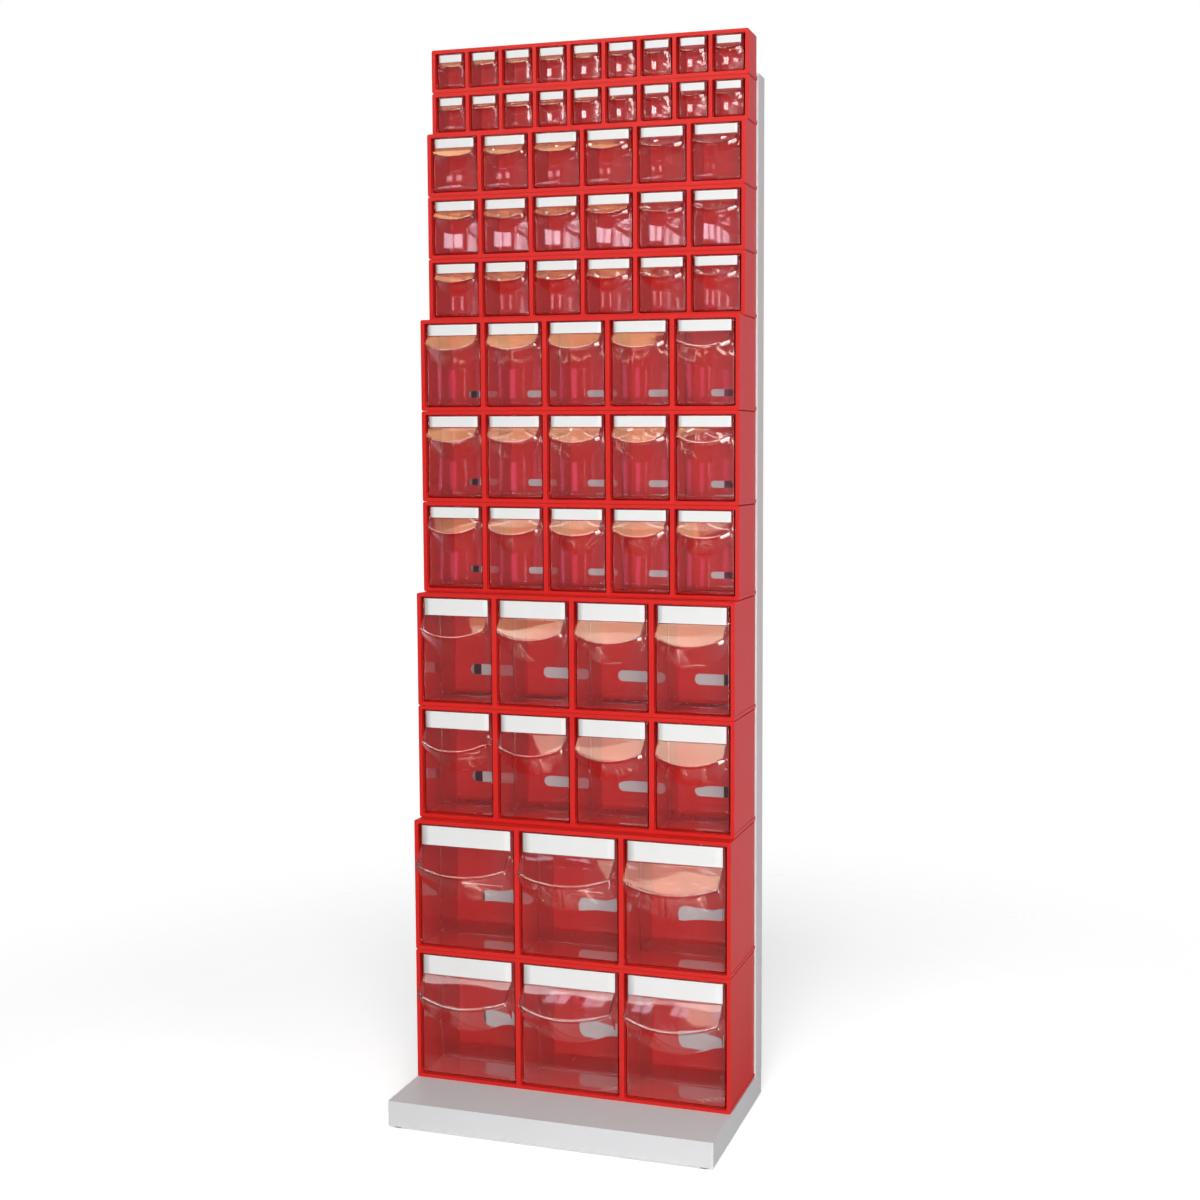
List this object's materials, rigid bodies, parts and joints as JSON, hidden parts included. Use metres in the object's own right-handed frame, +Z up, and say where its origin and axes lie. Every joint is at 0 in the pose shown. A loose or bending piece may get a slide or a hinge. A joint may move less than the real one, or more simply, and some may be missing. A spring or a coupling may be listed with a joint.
{
  "type": "parts bin cabinet",
  "caption": "Tall cabinet of clear tilt-out parts bins in stacked red moulded casings, hung on a folded sheet-steel column with a plinth base.",
  "frame": {"origin": "centre of the base on the floor", "axes": "+X right and +Y back seen from the front, +Z up; the bins face -Y"},
  "size_m": [0.6036, 0.306, 1.9215],
  "materials": {
    "casing_red": "satin moulded red",
    "bin_clear": "clear moulded, with a white label card",
    "steel_grey": "light grey powder coat",
    "zinc": "zinc plated",
    "glide_black": "matte black"
  },
  "bodies": {
    "stand": {"column": "steel_grey", "base": "steel_grey", "glides": "glide_black", "fixings": "zinc", "nine_bin_casings": "casing_red", "six_bin_casings": "casing_red", "five_bin_casings": "casing_red", "four_bin_casings": "casing_red", "three_bin_casings": "casing_red"},
    "small_bins_01_left": {"small_bins_01_left": "bin_clear"},
    "small_bins_01_right": {"small_bins_01_right": "bin_clear"},
    "small_bins_02_left": {"small_bins_02_left": "bin_clear"},
    "small_bins_02_right": {"small_bins_02_right": "bin_clear"},
    "bin_03_1": {"bin_03_1": "bin_clear"},
    "bin_03_2": {"bin_03_2": "bin_clear"},
    "bin_03_3": {"bin_03_3": "bin_clear"},
    "bin_03_4": {"bin_03_4": "bin_clear"},
    "bin_03_5": {"bin_03_5": "bin_clear"},
    "bin_03_6": {"bin_03_6": "bin_clear"},
    "bin_04_1": {"bin_04_1": "bin_clear"},
    "bin_04_2": {"bin_04_2": "bin_clear"},
    "bin_04_3": {"bin_04_3": "bin_clear"},
    "bin_04_4": {"bin_04_4": "bin_clear"},
    "bin_04_5": {"bin_04_5": "bin_clear"},
    "bin_04_6": {"bin_04_6": "bin_clear"},
    "bin_05_1": {"bin_05_1": "bin_clear"},
    "bin_05_2": {"bin_05_2": "bin_clear"},
    "bin_05_3": {"bin_05_3": "bin_clear"},
    "bin_05_4": {"bin_05_4": "bin_clear"},
    "bin_05_5": {"bin_05_5": "bin_clear"},
    "bin_05_6": {"bin_05_6": "bin_clear"},
    "bin_06_1": {"bin_06_1": "bin_clear"},
    "bin_06_2": {"bin_06_2": "bin_clear"},
    "bin_06_3": {"bin_06_3": "bin_clear"},
    "bin_06_4": {"bin_06_4": "bin_clear"},
    "bin_06_5": {"bin_06_5": "bin_clear"},
    "bin_07_1": {"bin_07_1": "bin_clear"},
    "bin_07_2": {"bin_07_2": "bin_clear"},
    "bin_07_3": {"bin_07_3": "bin_clear"},
    "bin_07_4": {"bin_07_4": "bin_clear"},
    "bin_07_5": {"bin_07_5": "bin_clear"},
    "bin_08_1": {"bin_08_1": "bin_clear"},
    "bin_08_2": {"bin_08_2": "bin_clear"},
    "bin_08_3": {"bin_08_3": "bin_clear"},
    "bin_08_4": {"bin_08_4": "bin_clear"},
    "bin_08_5": {"bin_08_5": "bin_clear"},
    "bin_09_1": {"bin_09_1": "bin_clear"},
    "bin_09_2": {"bin_09_2": "bin_clear"},
    "bin_09_3": {"bin_09_3": "bin_clear"},
    "bin_09_4": {"bin_09_4": "bin_clear"},
    "bin_10_1": {"bin_10_1": "bin_clear"},
    "bin_10_2": {"bin_10_2": "bin_clear"},
    "bin_10_3": {"bin_10_3": "bin_clear"},
    "bin_10_4": {"bin_10_4": "bin_clear"},
    "bin_11_1": {"bin_11_1": "bin_clear"},
    "bin_11_2": {"bin_11_2": "bin_clear"},
    "bin_11_3": {"bin_11_3": "bin_clear"},
    "bin_12_1": {"bin_12_1": "bin_clear"},
    "bin_12_2": {"bin_12_2": "bin_clear"},
    "bin_12_3": {"bin_12_3": "bin_clear"}
  },
  "joints": [
    {"name": "small_bins_01_left_tilt", "type": "hinge", "parent": "stand", "child": "small_bins_01_left", "pos_m": [-0.13167, 0.064, 1.8595], "axis": [1, 0, 0], "range_deg": [0, 40]},
    {"name": "small_bins_01_right_tilt", "type": "hinge", "parent": "stand", "child": "small_bins_01_right", "pos_m": [0.16458, 0.064, 1.8595], "axis": [1, 0, 0], "range_deg": [0, 40]},
    {"name": "small_bins_02_left_tilt", "type": "hinge", "parent": "stand", "child": "small_bins_02_left", "pos_m": [-0.13167, 0.064, 1.7825], "axis": [1, 0, 0], "range_deg": [0, 40]},
    {"name": "small_bins_02_right_tilt", "type": "hinge", "parent": "stand", "child": "small_bins_02_right", "pos_m": [0.16458, 0.064, 1.7825], "axis": [1, 0, 0], "range_deg": [0, 40]},
    {"name": "bin_03_1_tilt", "type": "hinge", "parent": "stand", "child": "bin_03_1", "pos_m": [-0.24708, 0.043, 1.6705], "axis": [1, 0, 0], "range_deg": [0, 40]},
    {"name": "bin_03_2_tilt", "type": "hinge", "parent": "stand", "child": "bin_03_2", "pos_m": [-0.14825, 0.043, 1.6705], "axis": [1, 0, 0], "range_deg": [0, 40]},
    {"name": "bin_03_3_tilt", "type": "hinge", "parent": "stand", "child": "bin_03_3", "pos_m": [-0.04942, 0.043, 1.6705], "axis": [1, 0, 0], "range_deg": [0, 40]},
    {"name": "bin_03_4_tilt", "type": "hinge", "parent": "stand", "child": "bin_03_4", "pos_m": [0.04942, 0.043, 1.6705], "axis": [1, 0, 0], "range_deg": [0, 40]},
    {"name": "bin_03_5_tilt", "type": "hinge", "parent": "stand", "child": "bin_03_5", "pos_m": [0.14825, 0.043, 1.6705], "axis": [1, 0, 0], "range_deg": [0, 40]},
    {"name": "bin_03_6_tilt", "type": "hinge", "parent": "stand", "child": "bin_03_6", "pos_m": [0.24708, 0.043, 1.6705], "axis": [1, 0, 0], "range_deg": [0, 40]},
    {"name": "bin_04_1_tilt", "type": "hinge", "parent": "stand", "child": "bin_04_1", "pos_m": [-0.24708, 0.043, 1.5585], "axis": [1, 0, 0], "range_deg": [0, 40]},
    {"name": "bin_04_2_tilt", "type": "hinge", "parent": "stand", "child": "bin_04_2", "pos_m": [-0.14825, 0.043, 1.5585], "axis": [1, 0, 0], "range_deg": [0, 40]},
    {"name": "bin_04_3_tilt", "type": "hinge", "parent": "stand", "child": "bin_04_3", "pos_m": [-0.04942, 0.043, 1.5585], "axis": [1, 0, 0], "range_deg": [0, 40]},
    {"name": "bin_04_4_tilt", "type": "hinge", "parent": "stand", "child": "bin_04_4", "pos_m": [0.04942, 0.043, 1.5585], "axis": [1, 0, 0], "range_deg": [0, 40]},
    {"name": "bin_04_5_tilt", "type": "hinge", "parent": "stand", "child": "bin_04_5", "pos_m": [0.14825, 0.043, 1.5585], "axis": [1, 0, 0], "range_deg": [0, 40]},
    {"name": "bin_04_6_tilt", "type": "hinge", "parent": "stand", "child": "bin_04_6", "pos_m": [0.24708, 0.043, 1.5585], "axis": [1, 0, 0], "range_deg": [0, 40]},
    {"name": "bin_05_1_tilt", "type": "hinge", "parent": "stand", "child": "bin_05_1", "pos_m": [-0.24708, 0.043, 1.4465], "axis": [1, 0, 0], "range_deg": [0, 40]},
    {"name": "bin_05_2_tilt", "type": "hinge", "parent": "stand", "child": "bin_05_2", "pos_m": [-0.14825, 0.043, 1.4465], "axis": [1, 0, 0], "range_deg": [0, 40]},
    {"name": "bin_05_3_tilt", "type": "hinge", "parent": "stand", "child": "bin_05_3", "pos_m": [-0.04942, 0.043, 1.4465], "axis": [1, 0, 0], "range_deg": [0, 40]},
    {"name": "bin_05_4_tilt", "type": "hinge", "parent": "stand", "child": "bin_05_4", "pos_m": [0.04942, 0.043, 1.4465], "axis": [1, 0, 0], "range_deg": [0, 40]},
    {"name": "bin_05_5_tilt", "type": "hinge", "parent": "stand", "child": "bin_05_5", "pos_m": [0.14825, 0.043, 1.4465], "axis": [1, 0, 0], "range_deg": [0, 40]},
    {"name": "bin_05_6_tilt", "type": "hinge", "parent": "stand", "child": "bin_05_6", "pos_m": [0.24708, 0.043, 1.4465], "axis": [1, 0, 0], "range_deg": [0, 40]},
    {"name": "bin_06_1_tilt", "type": "hinge", "parent": "stand", "child": "bin_06_1", "pos_m": [-0.2376, 0.009, 1.2825], "axis": [1, 0, 0], "range_deg": [0, 40]},
    {"name": "bin_06_2_tilt", "type": "hinge", "parent": "stand", "child": "bin_06_2", "pos_m": [-0.1188, 0.009, 1.2825], "axis": [1, 0, 0], "range_deg": [0, 40]},
    {"name": "bin_06_3_tilt", "type": "hinge", "parent": "stand", "child": "bin_06_3", "pos_m": [0, 0.009, 1.2825], "axis": [1, 0, 0], "range_deg": [0, 40]},
    {"name": "bin_06_4_tilt", "type": "hinge", "parent": "stand", "child": "bin_06_4", "pos_m": [0.1188, 0.009, 1.2825], "axis": [1, 0, 0], "range_deg": [0, 40]},
    {"name": "bin_06_5_tilt", "type": "hinge", "parent": "stand", "child": "bin_06_5", "pos_m": [0.2376, 0.009, 1.2825], "axis": [1, 0, 0], "range_deg": [0, 40]},
    {"name": "bin_07_1_tilt", "type": "hinge", "parent": "stand", "child": "bin_07_1", "pos_m": [-0.2376, 0.009, 1.1185], "axis": [1, 0, 0], "range_deg": [0, 40]},
    {"name": "bin_07_2_tilt", "type": "hinge", "parent": "stand", "child": "bin_07_2", "pos_m": [-0.1188, 0.009, 1.1185], "axis": [1, 0, 0], "range_deg": [0, 40]},
    {"name": "bin_07_3_tilt", "type": "hinge", "parent": "stand", "child": "bin_07_3", "pos_m": [0, 0.009, 1.1185], "axis": [1, 0, 0], "range_deg": [0, 40]},
    {"name": "bin_07_4_tilt", "type": "hinge", "parent": "stand", "child": "bin_07_4", "pos_m": [0.1188, 0.009, 1.1185], "axis": [1, 0, 0], "range_deg": [0, 40]},
    {"name": "bin_07_5_tilt", "type": "hinge", "parent": "stand", "child": "bin_07_5", "pos_m": [0.2376, 0.009, 1.1185], "axis": [1, 0, 0], "range_deg": [0, 40]},
    {"name": "bin_08_1_tilt", "type": "hinge", "parent": "stand", "child": "bin_08_1", "pos_m": [-0.2376, 0.009, 0.9545], "axis": [1, 0, 0], "range_deg": [0, 40]},
    {"name": "bin_08_2_tilt", "type": "hinge", "parent": "stand", "child": "bin_08_2", "pos_m": [-0.1188, 0.009, 0.9545], "axis": [1, 0, 0], "range_deg": [0, 40]},
    {"name": "bin_08_3_tilt", "type": "hinge", "parent": "stand", "child": "bin_08_3", "pos_m": [0, 0.009, 0.9545], "axis": [1, 0, 0], "range_deg": [0, 40]},
    {"name": "bin_08_4_tilt", "type": "hinge", "parent": "stand", "child": "bin_08_4", "pos_m": [0.1188, 0.009, 0.9545], "axis": [1, 0, 0], "range_deg": [0, 40]},
    {"name": "bin_08_5_tilt", "type": "hinge", "parent": "stand", "child": "bin_08_5", "pos_m": [0.2376, 0.009, 0.9545], "axis": [1, 0, 0], "range_deg": [0, 40]},
    {"name": "bin_09_1_tilt", "type": "hinge", "parent": "stand", "child": "bin_09_1", "pos_m": [-0.22312, -0.018, 0.7485], "axis": [1, 0, 0], "range_deg": [0, 40]},
    {"name": "bin_09_2_tilt", "type": "hinge", "parent": "stand", "child": "bin_09_2", "pos_m": [-0.07437, -0.018, 0.7485], "axis": [1, 0, 0], "range_deg": [0, 40]},
    {"name": "bin_09_3_tilt", "type": "hinge", "parent": "stand", "child": "bin_09_3", "pos_m": [0.07437, -0.018, 0.7485], "axis": [1, 0, 0], "range_deg": [0, 40]},
    {"name": "bin_09_4_tilt", "type": "hinge", "parent": "stand", "child": "bin_09_4", "pos_m": [0.22312, -0.018, 0.7485], "axis": [1, 0, 0], "range_deg": [0, 40]},
    {"name": "bin_10_1_tilt", "type": "hinge", "parent": "stand", "child": "bin_10_1", "pos_m": [-0.22312, -0.018, 0.5425], "axis": [1, 0, 0], "range_deg": [0, 40]},
    {"name": "bin_10_2_tilt", "type": "hinge", "parent": "stand", "child": "bin_10_2", "pos_m": [-0.07437, -0.018, 0.5425], "axis": [1, 0, 0], "range_deg": [0, 40]},
    {"name": "bin_10_3_tilt", "type": "hinge", "parent": "stand", "child": "bin_10_3", "pos_m": [0.07437, -0.018, 0.5425], "axis": [1, 0, 0], "range_deg": [0, 40]},
    {"name": "bin_10_4_tilt", "type": "hinge", "parent": "stand", "child": "bin_10_4", "pos_m": [0.22312, -0.018, 0.5425], "axis": [1, 0, 0], "range_deg": [0, 40]},
    {"name": "bin_11_1_tilt", "type": "hinge", "parent": "stand", "child": "bin_11_1", "pos_m": [-0.19833, -0.039, 0.3025], "axis": [1, 0, 0], "range_deg": [0, 40]},
    {"name": "bin_11_2_tilt", "type": "hinge", "parent": "stand", "child": "bin_11_2", "pos_m": [0, -0.039, 0.3025], "axis": [1, 0, 0], "range_deg": [0, 40]},
    {"name": "bin_11_3_tilt", "type": "hinge", "parent": "stand", "child": "bin_11_3", "pos_m": [0.19833, -0.039, 0.3025], "axis": [1, 0, 0], "range_deg": [0, 40]},
    {"name": "bin_12_1_tilt", "type": "hinge", "parent": "stand", "child": "bin_12_1", "pos_m": [-0.19833, -0.039, 0.0625], "axis": [1, 0, 0], "range_deg": [0, 40]},
    {"name": "bin_12_2_tilt", "type": "hinge", "parent": "stand", "child": "bin_12_2", "pos_m": [0, -0.039, 0.0625], "axis": [1, 0, 0], "range_deg": [0, 40]},
    {"name": "bin_12_3_tilt", "type": "hinge", "parent": "stand", "child": "bin_12_3", "pos_m": [0.19833, -0.039, 0.0625], "axis": [1, 0, 0], "range_deg": [0, 40]}
  ]
}
